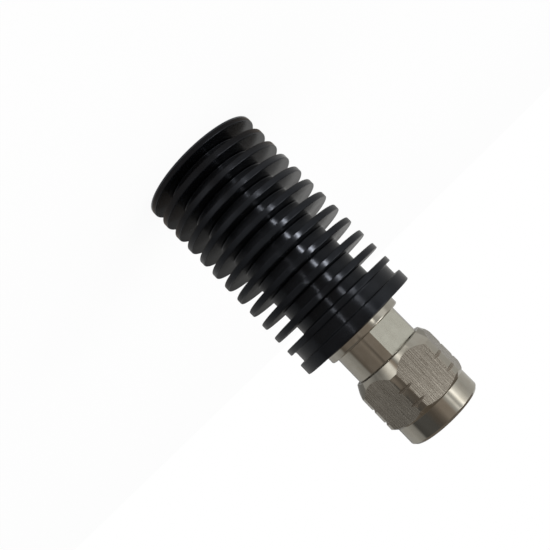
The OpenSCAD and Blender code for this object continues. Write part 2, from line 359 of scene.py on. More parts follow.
class TurningTree:
    """Geometry Nodes tree that turns a half section into a solid, with its repeats and rounded corners."""

    SOCKETS = (("Section", "NodeSocketGeometry"), ("Repeat Count", "NodeSocketInt"),
               ("Repeat Pitch", "NodeSocketFloat"), ("Closed", "NodeSocketInt"),
               ("Corner Steps", "NodeSocketInt"), ("Segments", "NodeSocketInt"),
               ("Material", "NodeSocketMaterial"))

    def __init__(self) -> None:
        """Builds the tree once, for all turned pieces."""
        self.tree = new_tree("turned_section", self.SOCKETS)
        self.given = add_node(self.tree, "NodeGroupInput").outputs
        solid = self._revolved(self._rounded_section())
        end_tree(self.tree, solid, self.given["Material"])

    def _rounded_section(self) -> NodeSocket:
        """Copies the repeated run up the axis, joins all runs and rounds the corners.

        Returns:
            The section as one curve.
        """
        tree, given = self.tree, self.given
        repeat = add_node(tree, "GeometryNodeInputNamedAttribute", {"Name": "repeat"},
                          data_type="BOOLEAN").outputs[0]
        parted = add_node(tree, "GeometryNodeSeparateGeometry",
                          {"Geometry": given["Section"], "Selection": repeat}).outputs
        step = add_node(tree, "ShaderNodeCombineXYZ", {"Z": given["Repeat Pitch"]}).outputs[0]
        places = add_node(tree, "GeometryNodeMeshLine",
                          {"Count": given["Repeat Count"], "Offset": step}).outputs[0]
        copies = add_node(tree, "GeometryNodeInstanceOnPoints",
                          {"Points": places, "Instance": parted["Selection"]}).outputs[0]
        real = add_node(tree, "GeometryNodeRealizeInstances", {"Geometry": copies}).outputs[0]
        joined = add_node(tree, "GeometryNodeJoinGeometry", {"Geometry": parted["Inverted"]})
        tree.links.new(real, joined.inputs[0])
        welded = add_node(tree, "GeometryNodeMergeByDistance",
                          {"Geometry": joined.outputs[0], "Distance": WELD}).outputs[0]
        curve = add_node(tree, "GeometryNodeMeshToCurve", {"Mesh": welded}).outputs[0]
        rounding = add_node(tree, "GeometryNodeInputNamedAttribute", {"Name": "rounding"},
                            data_type="FLOAT").outputs[0]
        return add_node(tree, "GeometryNodeFilletCurve", {
            "Curve": curve, "Count": given["Corner Steps"], "Radius": rounding, "Limit Radius": True},
            mode="POLY").outputs[0]

    def _revolved(self, section: NodeSocket) -> NodeSocket:
        """Turns the section about Z: a grid whose rows follow the section and whose columns go round.

        Args:
            section: the rounded section.

        Returns:
            The closed, smooth mesh with a UV map.
        """
        tree, given = self.tree, self.given
        corners = add_node(tree, "GeometryNodeAttributeDomainSize", {"Geometry": section},
                           component="CURVE").outputs["Point Count"]
        rows = add_node(tree, "ShaderNodeMath", {0: corners, 1: given["Closed"]}, operation="ADD").outputs[0]
        columns = add_node(tree, "ShaderNodeMath", {0: given["Segments"], 1: 1.0}, operation="ADD").outputs[0]
        grid = add_node(tree, "GeometryNodeMeshGrid", {"Vertices X": rows, "Vertices Y": columns}).outputs
        index = add_node(tree, "GeometryNodeInputIndex").outputs[0]
        share = add_node(tree, "ShaderNodeMath", {0: index, 1: columns}, operation="DIVIDE").outputs[0]
        row = add_node(tree, "ShaderNodeMath", {0: share}, operation="FLOOR").outputs[0]
        wrapped = add_node(tree, "ShaderNodeMath", {0: row, 1: corners}, operation="MODULO").outputs[0]
        column = add_node(tree, "ShaderNodeMath", {0: index, 1: columns}, operation="MODULO").outputs[0]
        turns = add_node(tree, "ShaderNodeMath", {0: column, 1: given["Segments"]},
                         operation="DIVIDE").outputs[0]
        angle = add_node(tree, "ShaderNodeMath", {0: turns, 1: math.tau}, operation="MULTIPLY").outputs[0]
        place = add_node(tree, "GeometryNodeInputPosition").outputs[0]
        sample = add_node(tree, "GeometryNodeSampleIndex", {
            "Geometry": section, "Value": place, "Index": wrapped},
            data_type="FLOAT_VECTOR", domain="POINT").outputs[0]
        corner = add_node(tree, "ShaderNodeSeparateXYZ", {0: sample}).outputs
        position = turned_point(tree, corner["X"], angle, corner["Z"])
        mapped = add_node(tree, "GeometryNodeStoreNamedAttribute",
                          {"Geometry": grid["Mesh"], "Name": "UVMap", "Value": grid["UV Map"]},
                          data_type="FLOAT2", domain="CORNER").outputs[0]
        placed = add_node(tree, "GeometryNodeSetPosition",
                          {"Geometry": mapped, "Position": position}).outputs[0]
        welded = add_node(tree, "GeometryNodeMergeByDistance",
                          {"Geometry": placed, "Distance": WELD}).outputs[0]
        return add_node(tree, "GeometryNodeSetShadeSmooth", {"Geometry": welded}).outputs[0]

    def turn(self, name: str, section: Section, material: Material, segments: int = 160,
             steps: int = 6) -> Object:
        """Turns one section into a solid.

        Args:
            name: the piece's name.
            section: its half section.
            material: its finish.
            segments: faces round the axis.
            steps: faces across a rounded corner.

        Returns:
            The solid.
        """
        return grow(name, section.seed(name), self.tree, {
            "Repeat Count": section.count, "Repeat Pitch": section.pitch * MM, "Closed": int(section.closed),
            "Corner Steps": steps, "Segments": segments, "Material": material})


class ThreadTree:
    """Geometry Nodes tree that sweeps a thread's ridge along its helix inside a bore."""

    # Share of its full size to which the ridge shrinks at its ends
    TIP_SHARE = 0.02
    NUMBERS = ("Bore Radius", "Pitch", "Turns", "Start", "Depth", "Foot Width", "Crest Width", "Seat",
               "Run Out")
    SOCKETS = (*((label, "NodeSocketFloat") for label in NUMBERS), ("Steps per Turn", "NodeSocketInt"),
               ("Material", "NodeSocketMaterial"))

    def __init__(self) -> None:
        """Builds the tree."""
        self.tree = tree = new_tree("thread_ridge", self.SOCKETS)
        self.given = add_node(tree, "NodeGroupInput").outputs
        ridge = add_node(tree, "GeometryNodeCurveToMesh", {
            "Curve": self._helix(), "Profile Curve": self._profile(), "Fill Caps": True}).outputs[0]
        bend = add_node(tree, "GeometryNodeInputMeshEdgeAngle").outputs["Unsigned Angle"]
        sharp = add_node(tree, "FunctionNodeCompare", {0: bend, 1: EDGE_TURN}, data_type="FLOAT",
                         operation="GREATER_THAN").outputs[0]
        smooth = add_node(tree, "GeometryNodeSetShadeSmooth", {"Geometry": ridge}).outputs[0]
        edged = add_node(tree, "GeometryNodeSetShadeSmooth", {
            "Geometry": smooth, "Selection": sharp, "Shade Smooth": False}, domain="EDGE").outputs[0]
        end_tree(tree, edged, self.given["Material"])

    def _helix(self) -> NodeSocket:
        """Makes the path, whose radius field lets the ridge run out at both ends.

        Returns:
            The helix.
        """
        tree, given = self.tree, self.given
        rise = add_node(tree, "ShaderNodeMath", {0: given["Pitch"], 1: given["Turns"]},
                        operation="MULTIPLY").outputs[0]
        spiral = add_node(tree, "GeometryNodeCurveSpiral", {
            "Resolution": given["Steps per Turn"], "Rotations": given["Turns"], "Height": rise,
            "Start Radius": given["Bore Radius"], "End Radius": given["Bore Radius"]}).outputs[0]
        start = add_node(tree, "ShaderNodeCombineXYZ", {"Z": given["Start"]}).outputs[0]
        raised = add_node(tree, "GeometryNodeTransform",
                          {"Geometry": spiral, "Translation": start}).outputs[0]
        upright = add_node(tree, "GeometryNodeSetCurveNormal", {"Curve": raised}, mode="Z_UP").outputs[0]
        share = add_node(tree, "GeometryNodeSplineParameter").outputs["Factor"]
        rest = add_node(tree, "ShaderNodeMath", {0: 1.0, 1: share}, operation="SUBTRACT").outputs[0]
        nearest = add_node(tree, "ShaderNodeMath", {0: share, 1: rest}, operation="MINIMUM").outputs[0]
        turns = add_node(tree, "ShaderNodeMath", {0: nearest, 1: given["Turns"]},
                         operation="MULTIPLY").outputs[0]
        size = add_node(tree, "ShaderNodeMapRange", {"Value": turns, 2: given["Run Out"], 3: self.TIP_SHARE},
                        interpolation_type="SMOOTHSTEP").outputs[0]
        return add_node(tree, "GeometryNodeSetCurveRadius", {"Curve": upright, "Radius": size}).outputs[0]

    def _profile(self) -> NodeSocket:
        """Makes the ridge's section: a trapezium that stands inwards from the bore.

        Returns:
            The section, with its foot a little inside the wall.
        """
        tree, given = self.tree, self.given
        tall = add_node(tree, "ShaderNodeMath", {0: given["Depth"], 1: given["Seat"]},
                        operation="ADD").outputs[0]
        section = add_node(tree, "GeometryNodeCurvePrimitiveQuadrilateral", {
            "Bottom Width": given["Foot Width"], "Top Width": given["Crest Width"], "Offset": 0.0,
            "Height": tall}, mode="TRAPEZOID").outputs[0]
        half = add_node(tree, "ShaderNodeMath", {0: tall, 1: 0.5}, operation="MULTIPLY").outputs[0]
        inset = add_node(tree, "ShaderNodeMath", {0: given["Seat"], 1: half}, operation="SUBTRACT").outputs[0]
        shift = add_node(tree, "ShaderNodeCombineXYZ", {"X": inset}).outputs[0]
        return add_node(tree, "GeometryNodeTransform", {
            "Geometry": section, "Translation": shift, "Rotation": (0.0, 0.0, math.radians(90))}).outputs[0]


# Finishes


def rings_round_axis(tree: NodeTree, here: NodeSocket) -> NodeSocket:
    """Adds the nodes for coordinates that stay the same round the axis, as a lathe's marks do.

    Args:
        tree: the material's tree.
        here: the Object coordinates.

    Returns:
        Distance from the axis and height along it, as X and Z.
    """
    flat = add_node(tree, "ShaderNodeVectorMath", {0: here, 1: (1.0, 1.0, 0.0)},
                    operation="MULTIPLY").outputs[0]
    radius = add_node(tree, "ShaderNodeVectorMath", {0: flat}, operation="LENGTH").outputs["Value"]
    height = add_node(tree, "ShaderNodeSeparateXYZ", {0: here}).outputs["Z"]
    return add_node(tree, "ShaderNodeCombineXYZ", {"X": radius, "Z": height}).outputs[0]


def tangent_round_axis(tree: NodeTree, here: NodeSocket) -> NodeSocket:
    """Adds the nodes for the direction round the axis, along which a lathe's marks run.

    Args:
        tree: the material's tree.
        here: the Object coordinates.

    Returns:
        The direction in the world.
    """
    across = add_node(tree, "ShaderNodeVectorMath", {0: (0.0, 0.0, 1.0), 1: here},
                      operation="CROSS_PRODUCT").outputs[0]
    return add_node(tree, "ShaderNodeVectorTransform", {"Vector": across}, vector_type="VECTOR",
                    convert_from="OBJECT", convert_to="WORLD").outputs[0]


class Coat:
    """A material in the making, with its shader and the Object coordinates that its patterns lie in."""

    def __init__(self, name: str) -> None:
        """Starts the material.

        Args:
            name: the finish's name.
        """
        self.material = bpy.data.materials.new(name)
        self.material.use_nodes = True
        self.tree = self.material.node_tree
        self.shader = self.tree.nodes["Principled BSDF"]
        self.here = add_node(self.tree, "ShaderNodeTexCoord").outputs["Object"]

    def vary(self, share: NodeSocket, colours: tuple[str, str], roughness: tuple[float, float]) -> None:
        """Lets colour and roughness go together between two states of the surface.

        Args:
            share: the pattern, from nought to one.
            colours: the hex colours at nought and at one.
            roughness: the roughness at nought and at one.
        """
        first, second = [linear(colour) for colour in colours]
        colour = add_node(self.tree, "ShaderNodeMix", {0: share, 6: first, 7: second},
                          data_type="RGBA").outputs[2]
        rough = add_node(self.tree, "ShaderNodeMapRange", {
            "Value": share, 3: roughness[0], 4: roughness[1]}).outputs[0]
        fill(self.tree, self.shader, {"Base Color": colour, "Roughness": rough})

    def mark(self, marks: NodeSocket, depth_mm: float, anisotropy: float, lay: Lay) -> None:
        """Cuts a tool's marks into the surface, which draw reflections out across them.

        Args:
            marks: the pattern of the marks.
            depth_mm: their depth in millimetres.
            anisotropy: how far reflections are drawn out.
            lay: the direction of the marks.
        """
        relief = add_node(self.tree, "ShaderNodeBump", {
            "Height": marks, "Strength": 1.0, "Distance": depth_mm * MM}).outputs[0]
        fill(self.tree, self.shader, {
            "Normal": relief, "Tangent": tangent_round_axis(self.tree, self.here), "Anisotropic": anisotropy,
            "Anisotropic Rotation": QUARTER_TURN if lay is Lay.AROUND else 0.0})


@dataclass(frozen=True)
class MetalFinish:
    """A metal surface with the marks of the tool that cut it and slightly uneven plating."""

    name: str
    colour: str
    dull: str
    roughness: float
    dull_roughness: float
    mark_mm: float
    mark_depth_mm: float
    lay: Lay = Lay.AROUND
    anisotropy: float = 0.3
    patch_mm: float = 2.5
    mark_length_mm: float = 6.0
    streaks: float = 0.0

    def material(self) -> Material:
        """Builds the finish.

        Returns:
            The material.
        """
        coat = Coat(self.name)
        marks = add_node(coat.tree, "ShaderNodeTexNoise", {
            "Vector": self._along_marks(coat), "Scale": 1 / (self.mark_mm * MM), "Detail": 3.0,
            "Roughness": 0.6}).outputs["Fac"]
        patches = add_node(coat.tree, "ShaderNodeTexNoise", {
            "Vector": coat.here, "Scale": 1 / (self.patch_mm * MM), "Detail": 4.0,
            "Roughness": 0.55}).outputs["Fac"]
        uneven = add_node(coat.tree, "ShaderNodeMix", {0: self.streaks, 2: patches, 3: marks}).outputs[0]
        dullness = add_node(coat.tree, "ShaderNodeMapRange", {
            "Value": uneven, 1: DULL_RANGE[0], 2: DULL_RANGE[1]}).outputs[0]
        coat.vary(dullness, (self.colour, self.dull), (self.roughness, self.dull_roughness))
        coat.mark(marks, self.mark_depth_mm, self.anisotropy, self.lay)
        fill(coat.tree, coat.shader, {"Metallic": 1.0})
        return coat.material

    def _along_marks(self, coat: Coat) -> NodeSocket:
        """Stretches the noise along the tool's path, round the axis or along it.

        Args:
            coat: the material in the making.

        Returns:
            The coordinates for the noise.
        """
        if self.lay is Lay.AROUND:
            return rings_round_axis(coat.tree, coat.here)
        squeeze = self.mark_mm / self.mark_length_mm
        return add_node(coat.tree, "ShaderNodeMapping", {
            "Vector": coat.here, "Scale": (1.0, 1.0, squeeze)}).outputs[0]


@dataclass(frozen=True)
class DyedFinish:
    """Dyed anodic film on turned aluminium: a hard satin skin that follows the lathe's marks."""

    name: str
    colour: str
    worn: str
    gloss: str
    roughness: float
    worn_roughness: float
    ior: float
    anisotropy: float
    mark_mm: float
    mark_depth_mm: float
    patch_mm: float

    def material(self) -> Material:
        """Builds the finish.

        Returns:
            The material.
        """
        coat = Coat(self.name)
        rings = rings_round_axis(coat.tree, coat.here)
        marks = add_node(coat.tree, "ShaderNodeTexNoise", {
            "Vector": rings, "Scale": 1 / (self.mark_mm * MM), "Detail": 3.0}).outputs["Fac"]
        patches = add_node(coat.tree, "ShaderNodeTexNoise", {
            "Vector": coat.here, "Scale": 1 / (self.patch_mm * MM), "Detail": 5.0}).outputs["Fac"]
        wear = add_node(coat.tree, "ShaderNodeMapRange", {
            "Value": patches, 1: WORN_RANGE[0], 2: WORN_RANGE[1]}).outputs[0]
        coat.vary(wear, (self.colour, self.worn), (self.roughness, self.worn_roughness))
        coat.mark(marks, self.mark_depth_mm, self.anisotropy, Lay.AROUND)
        fill(coat.tree, coat.shader, {"IOR": self.ior, "Specular Tint": linear(self.gloss)})
        return coat.material


@dataclass(frozen=True)
class MatteFinish:
    """A moulded or fired surface: two close colours, a fine grain and no metal."""

    name: str
    colour: str
    second: str
    roughness: float
    ior: float
    grain_mm: float
    grain_depth_mm: float

    def material(self) -> Material:
        """Builds the finish.

        Returns:
            The material.
        """
        coat = Coat(self.name)
        grain = add_node(coat.tree, "ShaderNodeTexNoise", {
            "Vector": coat.here, "Scale": 1 / (self.grain_mm * MM), "Detail": 5.0}).outputs["Fac"]
        colour = add_node(coat.tree, "ShaderNodeMix", {
            0: grain, 6: linear(self.colour), 7: linear(self.second)}, data_type="RGBA").outputs[2]
        relief = add_node(coat.tree, "ShaderNodeBump", {
            "Height": grain, "Strength": 1.0, "Distance": self.grain_depth_mm * MM}).outputs[0]
        fill(coat.tree, coat.shader, {
            "Base Color": colour, "Normal": relief, "Roughness": self.roughness, "IOR": self.ior})
        return coat.material


# Black dyed anodising over a turned bar: nearly black, with a soft, faintly blue gloss that the lathe's rings
# break up
BLACK_ANODISED = DyedFinish(
    "black_anodised_aluminium", colour="#06080b", worn="#0b0d10", gloss="#e3e9f7", roughness=0.2,
    worn_roughness=0.28, ior=1.46, anisotropy=0.6, mark_mm=0.2, mark_depth_mm=0.0006, patch_mm=3.0)
# Bright nickel over turned brass: a warm mirror, drawn out a little along the axis by the lathe's rings
NICKEL_TURNED = MetalFinish(
    "nickel_plate_turned", colour="#cfcbc0", dull="#c6c0b3", roughness=0.08, dull_roughness=0.13, mark_mm=0.2,
    mark_depth_mm=0.00006)
# Bright nickel over a milled flat: the cutter's lines run along the axis and blur reflections across them
NICKEL_MILLED = MetalFinish(
    "nickel_plate_milled", colour="#d0cfc3", dull="#cac8bc", roughness=0.22, dull_roughness=0.3, mark_mm=0.3,
    mark_depth_mm=0.001, lay=Lay.ALONG, anisotropy=0.45)
# Nickel on the drawn hexagon, which the drawing die has streaked along the axis and made more matte. Its
# greyer, darker colour is painted shade. The streaks are coarser and deeper than the die's, so that they show
NICKEL_DRAWN_SHADED = MetalFinish(
    "nickel_plate_drawn_shaded", colour="#c2bcb1", dull="#9d968b", roughness=0.2, dull_roughness=0.3, mark_mm=0.24,
    mark_depth_mm=0.12, lay=Lay.ALONG, anisotropy=0.45, mark_length_mm=9.0, streaks=0.8)
# Nickel in the fine grooves: dull where the polishing wheel doesn't reach, and darker as painted shade
NICKEL_GROOVE_SHADED = MetalFinish(
    "nickel_plate_groove_shaded", colour="#bcb4a9", dull="#aea69b", roughness=0.45, dull_roughness=0.55, mark_mm=0.2,
    mark_depth_mm=0.0002, anisotropy=0.0)
# Rolled spring steel: grey and satin
SPRING_STEEL = MetalFinish(
    "spring_steel", colour="#b0b2b6", dull="#9fa1a5", roughness=0.32, dull_roughness=0.42, mark_mm=0.1,
    mark_depth_mm=0.0006)
# Silver plate over bronze: whiter than nickel, with a soft satin gloss
SILVER_PLATE = MetalFinish(
    "silver_plated_bronze", colour="#e3dfd4", dull="#d2ccbd", roughness=0.2, dull_roughness=0.3, mark_mm=0.1,
    mark_depth_mm=0.0004)
# Hard gold plate over brass: deep yellow and bright
GOLD_PLATE = MetalFinish(
    "gold_plated_brass", colour="#e8c074", dull="#dcb062", roughness=0.16, dull_roughness=0.24, mark_mm=0.1,
    mark_depth_mm=0.0004)
# Tin plate over brass: pale and satin
TIN_PLATE = MetalFinish(
    "tinned_brass", colour="#d8d6d0", dull="#c8c5bd", roughness=0.3, dull_roughness=0.4, mark_mm=0.15,
    mark_depth_mm=0.0006, anisotropy=0.1)
# Moulded silicone rubber: brick red and matte
SILICONE = MatteFinish(
    "silicone_rubber", colour="#a8502f", second="#9c4627", roughness=0.62, ior=1.41, grain_mm=0.25,
    grain_depth_mm=0.002)
# Turned PTFE: milky white and waxy
PTFE = MatteFinish(
    "ptfe", colour="#eeeeea", second="#e6e6e1", roughness=0.42, ior=1.35, grain_mm=0.4, grain_depth_mm=0.001)
# Printed resistive film on an alumina rod: dark grey with a fired grain
FILM = MatteFinish(
    "film_on_ceramic", colour="#43453f", second="#3a3c37", roughness=0.55, ior=1.6, grain_mm=0.12,
    grain_depth_mm=0.0015)


# Pieces of the object


@dataclass
class HeatSink:
    """The turned heat sink with its fins, front flange and tapered chamber, in millimetres."""

    fin_d: float = 30.6
    core_d: float = 19.8
    fin_count: int = 12
    fin_t: float = 1.5
    fin_pitch: float = 4.02
    shallow_w: float = 2.8
    shallow_d: float = 28.0
    flange_t: float = 2.8
    rim_round: float = 0.24
    root_round: float = 0.3
    end_wall: float = 5.0
    seat_r: float = 2.57
    line_r: float = 5.2
    socket_r: float = 7.02
    socket_z: float = 43.82
    film_z: float = 9.0
    film_top: float = 35.82
    taper_steps: int = 12

    def section(self) -> Section:
        """Draws the half section from the closed end's centre round to the chamber's floor.

        Returns:
            The section, with the fins between the first and the last as its repeat.
        """
        fin, core, shallow = self.fin_d / 2, self.core_d / 2, self.shallow_d / 2
        rim, root = self.rim_round, self.root_round
        thick, pitch = self.fin_t, self.fin_pitch
        last = (self.fin_count - 1) * pitch
        before = last - pitch + thick
        fins_top = last + thick
        flange_z = fins_top + self.shallow_w
        top = flange_z + self.flange_t
        closed_end = [
            Corner(0, 0), Corner(fin, 0, rim), Corner(fin, thick, rim), Corner(core, thick, root)]
        fin_run = [
            Corner(core, thick, root), Corner(core, pitch, root), Corner(fin, pitch, rim),
            Corner(fin, pitch + thick, rim), Corner(core, pitch + thick, root)]
        front = [
            Corner(core, before, root), Corner(core, last, root), Corner(fin, last, rim),
            Corner(fin, fins_top, rim), Corner(shallow, fins_top, root), Corner(shallow, flange_z, root),
            Corner(fin, flange_z, rim), Corner(fin, top, rim), Corner(self.socket_r, top, rim / 2),
            Corner(self.socket_r, self.socket_z), Corner(self.line_r, self.socket_z)]
        return Section([closed_end, front + self.chamber()], fin_run, self.fin_count - 2, pitch, closed=False)

    def chamber(self) -> list[Corner]:
        """Draws the chamber, whose radius falls exponentially along the film.

        Returns:
            The corners from the chamber's wide end to the axis.
        """
        ratio = self.line_r / self.seat_r
        shares = [1 - i / self.taper_steps for i in range(self.taper_steps + 1)]
        rise = self.film_top - self.film_z
        taper = [Corner(self.seat_r * ratio ** s, self.film_z + rise * s) for s in shares]
        return [*taper, Corner(self.seat_r, self.end_wall), Corner(0, self.end_wall)]

    def build(self, lathe: TurningTree) -> Object:
        """Turns and dresses the heat sink.

        Args:
            lathe: the tree that turns sections.

        Returns:
            The piece, in place of its node.
        """
        piece = lathe.turn("heat_sink_turned", self.section(), BLACK_ANODISED.material())
        soften(piece, 0)
        return place(piece, "heat_sink", Body.LOAD, "black_anodised_aluminium")


@dataclass
class ConnectorBody:
    """The turned body of the plug: stub, collar, wrench section and spigot, in millimetres."""

    stub_d: float = 14.0
    stub_z: float = 44.32
    collar_d: float = 19.6
    collar_z: float = 51.32
    collar_round: float = 0.45
    barrel_d: float = 16.8
    barrel_z: float = 53.42
    barrel_top: float = 60.32
    barrel_round: float = 0.12
    flats_af: float = 14.1
    spigot_d: float = 12.9
    spigot_top: float = 65.62
    groove_d: float = 11.6
    groove_z: float = 64.0
    groove_top: float = 64.94
    line_d: float = 10.4
    web_d: float = 7.0
    web_z: float = 55.82
    bead_z: float = 57.42
    seat_d: float = 9.44
    edge: float = 0.1

    def section(self) -> Section:
        """Draws the half section, up the outside and down the bore.

        Returns:
            The closed section.
        """
        stub, collar, barrel = self.stub_d / 2, self.collar_d / 2, self.barrel_d / 2
        spigot, groove, seat = self.spigot_d / 2, self.groove_d / 2, self.seat_d / 2
        line, web = self.line_d / 2, self.web_d / 2
        outside = [
            Corner(line, self.stub_z), Corner(stub, self.stub_z, self.edge), Corner(stub, self.collar_z),
            Corner(collar, self.collar_z, self.collar_round),
            Corner(collar, self.barrel_z, self.collar_round), Corner(barrel, self.barrel_z, self.edge),
            Corner(barrel, self.barrel_top, self.barrel_round), Corner(spigot, self.barrel_top),
            Corner(spigot, self.groove_z), Corner(groove, self.groove_z), Corner(groove, self.groove_top),
            Corner(spigot, self.groove_top), Corner(spigot, self.spigot_top, self.edge)]
        bore = [
            Corner(seat, self.spigot_top), Corner(seat, self.bead_z), Corner(web, self.bead_z),
            Corner(web, self.web_z), Corner(line, self.web_z), Corner(line, self.stub_z)]
        return Section([outside + bore])

    def build(self, lathe: TurningTree, turned: Material, milled: Material) -> Object:
        """Turns the body, mills its two flats and dresses it.

        Args:
            lathe: the tree that turns sections.
            turned: the finish of turned faces.
            milled: the finish of the flats.

        Returns:
            The piece, in place of its node.
        """
        piece = lathe.turn("connector_body_turned", self.section(), turned)
        near, far = self.flats_af / 2, self.collar_d
        for side in (-1, 1):
            low, high = sorted((side * near, side * far))
            outline = [(-far, low), (far, low), (far, high), (-far, high)]
            cutter = prism("wrench_flat", outline, self.barrel_z, self.barrel_top + self.edge, milled)
            carve(piece, cutter, "DIFFERENCE")
        soften(piece, self.edge)
        return place(piece, "connector_body", Body.LOAD, "nickel_plated_brass")


@dataclass
class CouplingNut:
    """The coupling nut: a chamfered hexagon with a round mouth and an inside thread, in millimetres."""

    base_z: float = 60.47
    length: float = 17.7
    hex_af: float = 19.7
    hex_l: float = 12.9
    turn_deg: float = 20.5
    corner_d: float = 21.74
    rear_d: float = 18.6
    rear_cone_l: float = 2.8
    front_cone_l: float = 1.2
    mouth_d: float = 19.1
    mouth_chamfer: float = 0.6
    mark_z: float = 6.2
    mark_pitch: float = 3.7
    mark_count: int = 2
    mark_w: float = 0.8
    mark_depth: float = 0.5
    lip_d: float = 13.0
    lip_t: float = 3.4
    relief_d: float = 16.3
    thread_d: float = 15.9
    thread_l: float = 9.2
    thread_pitch: float = INCH_MM / 24
    thread_depth: float = 0.57
    thread_seat: float = 0.03
    foot_share: float = 0.88
    crest_w: float = 0.26
    run_out_turns: float = 0.5
    thread_steps: int = 96
    edge: float = 0.1
    sides: int = 6
    # How far the hexagon's cutter reaches past the nut's ends
    cutter_spare: float = 1.0
    # Part of a face's normal along the axis above which the face is a groove's wall
    groove_slope: float = 0.3

    def at(self, d: float, z: float, rounding: float = 0.0) -> Corner:
        """Gives a corner by its diameter and its distance from the nut's rear face."""
        return Corner(d / 2, self.base_z + z, rounding)

    def section(self) -> Section:
        """Draws the half section, up the outside and down the bore.

        Returns:
            The closed section, with the fine grooves as its repeat.
        """
        half = self.mark_w / 2
        floor_d = self.corner_d - 2 * self.mark_depth
        bevel = (self.relief_d - self.thread_d) / 2
        thread_z = self.length - self.thread_l
        first = self.mark_z + half - self.mark_pitch
        last = self.mark_z + half + self.mark_pitch * (self.mark_count - 1)
        cone_z = self.hex_l - self.front_cone_l
        chamfer_z = self.length - self.mouth_chamfer
        edge, fine, wide = self.edge, self.edge / 2, self.edge * 2
        rear = [
            self.at(self.lip_d, self.lip_t), self.at(self.lip_d, 0, edge), self.at(self.rear_d, 0, edge),
            self.at(self.corner_d, self.rear_cone_l, edge), self.at(self.corner_d, first)]
        mark = [
            self.at(self.corner_d, first), self.at(self.corner_d, self.mark_z - half, fine),
            self.at(floor_d, self.mark_z, edge), self.at(self.corner_d, self.mark_z + half, fine)]
        front = [
            self.at(self.corner_d, last), self.at(self.corner_d, cone_z, edge),
            self.at(self.mouth_d, self.hex_l, edge), self.at(self.mouth_d, chamfer_z, wide),
            self.at(self.mouth_d - 2 * self.mouth_chamfer, self.length, wide),
            self.at(self.relief_d, self.length, fine), self.at(self.thread_d, self.length - bevel),
            self.at(self.thread_d, thread_z + bevel), self.at(self.relief_d, thread_z),
            self.at(self.relief_d, self.lip_t), self.at(self.lip_d, self.lip_t)]
        return Section([rear, front], mark, self.mark_count, self.mark_pitch)

    def build(self, lathe: TurningTree, turned: Material, drawn: Material, groove: Material) -> Object:
        """Turns the outside into the hexagonal bar and dresses the nut.

        Args:
            lathe: the tree that turns sections.
            turned: the finish of turned faces.
            drawn: the finish of the bar's flats, whose darker colour is painted shade.
            groove: the finish of the fine grooves, darkened as painted shade.

        Returns:
            The piece, in place of its node.
        """
        piece = lathe.turn("coupling_nut_milled", self.section(), turned)
        across = self.hex_af / 2 / math.cos(math.pi / self.sides)
        turns = [math.radians(self.turn_deg + 360 / self.sides * k) for k in range(self.sides)]
        outline = [(across * math.cos(a), across * math.sin(a)) for a in turns]
        low, high = self.base_z - self.cutter_spare, self.base_z + self.length + self.cutter_spare
        carve(piece, prism("hexagon", outline, low, high, drawn), "INTERSECT")
        self._dress_marks(piece, groove)
        soften(piece, self.edge)
        return place(piece, "coupling_nut", Body.NUT, "nickel_plated_brass")

    def _dress_marks(self, piece: Object, groove: Material) -> None:
        """Gives the sloping walls of the fine grooves their finish, whose darker colour is painted shade.

        Args:
            piece: the nut, cut to its hexagon.
            groove: the finish of the fine grooves.
        """
        piece.data.materials.append(groove)
        slot = len(piece.data.materials) - 1
        marks = [self.base_z + self.mark_z + self.mark_pitch * i for i in range(self.mark_count)]
        for face in piece.data.polygons:
            sloping = abs(face.normal.z) > self.groove_slope
            if sloping and any(abs(face.center.z / MM - z) < self.mark_w / 2 for z in marks):
                face.material_index = slot

    def thread(self, material: Material) -> Object:
        """Sweeps the ridge of the inside thread, which rides with the nut.

        Args:
            material: the finish of turned faces.

        Returns:
            The ridge.
        """
        tree = ThreadTree().tree
        margin = self.thread_pitch / 2
        start = self.base_z + self.length - self.thread_l + margin
        turns = (self.thread_l - 2 * margin) / self.thread_pitch
        piece = grow("coupling_thread", bpy.data.meshes.new("coupling_thread"), tree, {
            "Bore Radius": self.thread_d / 2 * MM, "Pitch": self.thread_pitch * MM, "Turns": turns,
            "Start": start * MM, "Depth": self.thread_depth * MM, "Seat": self.thread_seat * MM,
            "Foot Width": self.thread_pitch * self.foot_share * MM, "Crest Width": self.crest_w * MM,
            "Run Out": self.run_out_turns, "Steps per Turn": self.thread_steps, "Material": material})
        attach(piece, Body.NUT.value)
        LOG.info("%s rides on %s", piece.name, Body.NUT.value)
        return piece


def place(piece: Object, node: str, body: Body, slot: str) -> Object:
    """Puts a finished piece in place of its node.

    Args:
        piece: the finished piece.
        node: the node that it stands for.
        body: the body that it rides on.
        slot: the record's material slot; not used.

    Returns:
        The same piece.
    """
    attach(piece, body.value)
    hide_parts(node)
    LOG.info("%s stands for %s on %s, %d faces", piece.name, node, body.value, len(piece.data.polygons))
    return piece


@dataclass
class InnerParts:
    """The pieces inside the plug and the heat sink, which keep the frame's own meshes."""

    finishes: dict[str, MetalFinish | MatteFinish] = field(default_factory=lambda: {
        "retaining_ring": SPRING_STEEL, "gasket": SILICONE, "outer_contact": SILVER_PLATE, "insulator": PTFE,
        "centre_pin": GOLD_PLATE, "resistor_rod": FILM, "front_cap": TIN_PLATE, "rear_cap": TIN_PLATE})

    def dress(self) -> None:
        """Gives each inner node its finish."""
        made: dict[str, Material] = {}
        for node, finish in self.finishes.items():
            if finish.name not in made:
                made[finish.name] = finish.material()
            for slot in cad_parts[node].material_slots:
                slot.material = made[finish.name]
            LOG.info("%s has the finish %s", node, finish.name)


# Studio


